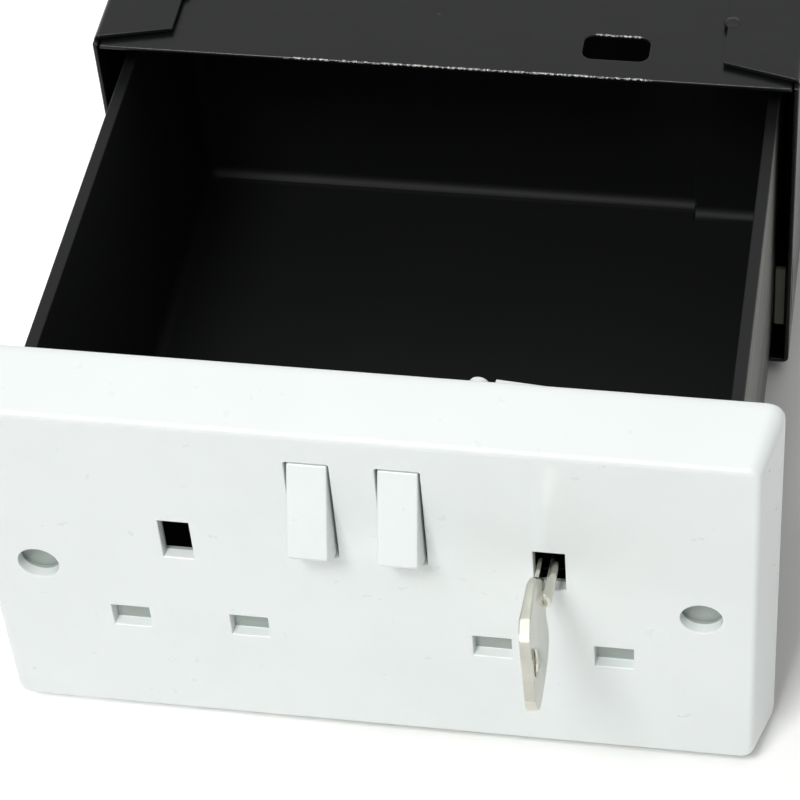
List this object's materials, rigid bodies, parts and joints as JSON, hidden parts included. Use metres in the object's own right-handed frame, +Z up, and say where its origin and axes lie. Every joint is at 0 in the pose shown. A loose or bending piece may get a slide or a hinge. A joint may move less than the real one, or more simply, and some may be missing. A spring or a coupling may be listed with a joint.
{
  "type": "outlet diversion safe",
  "caption": "Wall safe disguised as a double outlet: a moulded drawer behind a dummy faceplate slides in a folded steel housing and locks with a key-turned cam.",
  "frame": {"origin": "middle of the housing's flat back face", "axes": "+X right, +Z up, -Y out of the wall, so the faceplate and the key point along -Y; the drawer is pulled out and the cam points left, 7 degrees below level"},
  "size_m": [0.146, 0.2642, 0.086],
  "materials": {
    "white_moulding": "moulded white urea plastic, glossy",
    "black_moulding": "moulded black plastic, glossy",
    "black_paint": "gloss black powder coat on folded steel sheet",
    "nickel_plate": "nickel-plated steel",
    "zinc_plate": "zinc-plated steel and zinc casting",
    "spring_steel": "plain spring steel"
  },
  "bodies": {
    "housing": {"housing_tray": "black_paint", "housing_cover": "black_paint"},
    "drawer_unit": {"faceplate": "white_moulding", "drawer": "black_moulding", "rocker_retainer": "white_moulding", "retainer_screw_upper": "zinc_plate", "retainer_screw_lower": "zinc_plate", "rocker_spring_left": "spring_steel", "rocker_spring_right": "spring_steel", "lock_carrier": "white_moulding", "lock_body": "zinc_plate", "lock_nut": "zinc_plate", "carrier_screw_left_upper": "zinc_plate", "carrier_screw_right_upper": "zinc_plate", "carrier_screw_left_lower": "zinc_plate", "carrier_screw_right_lower": "zinc_plate", "drawer_screw_left_upper": "zinc_plate", "drawer_screw_left_lower": "zinc_plate", "drawer_screw_right_lower": "zinc_plate"},
    "left_rocker": {"rocker_left": "white_moulding"},
    "right_rocker": {"rocker_right": "white_moulding"},
    "plug_and_cam": {"lock_plug": "zinc_plate", "lock_cam": "nickel_plate", "cam_nut": "zinc_plate"},
    "door_key": {"key": "nickel_plate"}
  },
  "joints": [
    {"name": "drawer_slide", "type": "slide", "parent": "housing", "child": "drawer_unit", "axis": [0, -1, 0], "range_m": [-0.0862, 0.0308]},
    {"name": "rocker_left_tilt", "type": "hinge", "parent": "drawer_unit", "child": "left_rocker", "pos_m": [-0.00795, -0.2317, 0.021], "axis": [1, 0, 0], "range_deg": [0, 42.8]},
    {"name": "rocker_right_tilt", "type": "hinge", "parent": "drawer_unit", "child": "right_rocker", "pos_m": [0.00795, -0.2317, 0.021], "axis": [1, 0, 0], "range_deg": [0, 42.8]},
    {"name": "plug_turn", "type": "hinge", "parent": "drawer_unit", "child": "plug_and_cam", "pos_m": [0.03355, -0.2239, 0.0098], "axis": [0, 1, 0], "range_deg": [0, 97]},
    {"name": "key_pull", "type": "slide", "parent": "plug_and_cam", "child": "door_key", "axis": [0, -1, 0], "range_m": [0, 0.018]}
  ]
}
